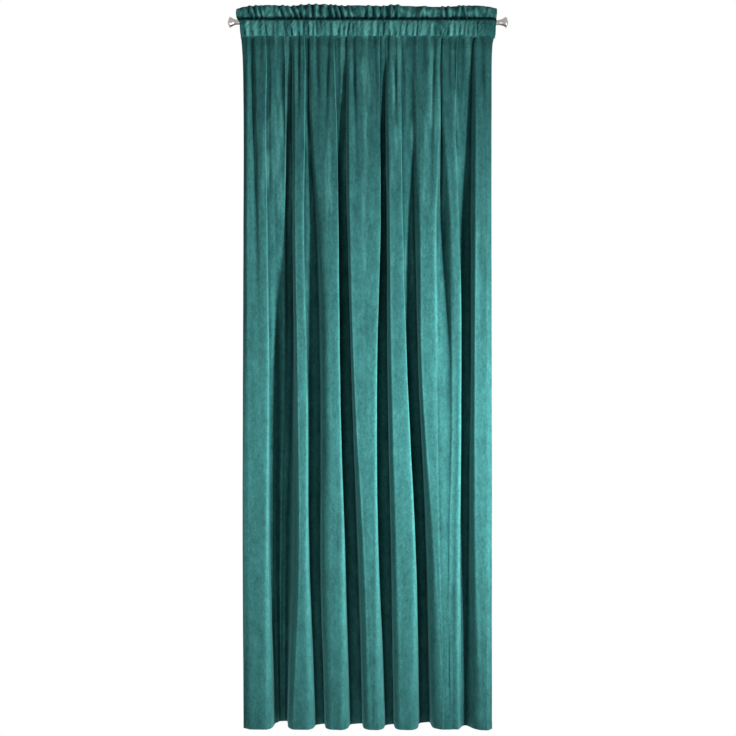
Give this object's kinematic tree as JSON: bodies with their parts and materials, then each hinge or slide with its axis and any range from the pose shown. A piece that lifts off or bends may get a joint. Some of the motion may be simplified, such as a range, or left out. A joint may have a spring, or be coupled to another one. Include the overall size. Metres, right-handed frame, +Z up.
{
  "type": "velvet rod pocket drape on curtain rod",
  "caption": "Velvet drape hanging straight in soft full-length folds from a slim metal curtain rod, gathered on a rod pocket with a frill above and a flared finial at each end.",
  "frame": {"origin": "on the rod's axis, half way along the rod", "axes": "+X along the rod to the right as seen from the room, +Y back to the wall, +Z up; the drape faces -Y"},
  "size_m": [0.9714, 0.0973, 2.5011],
  "materials": {
    "velvet": "short dense teal velvet pile with a soft sheen",
    "rod": "satin nickel plate",
    "finial": "polished nickel plate"
  },
  "bodies": {
    "root": {"velvet_drape": "velvet", "curtain_rod": "rod", "finial_left": "finial", "finial_right": "finial"}
  },
  "joints": []
}
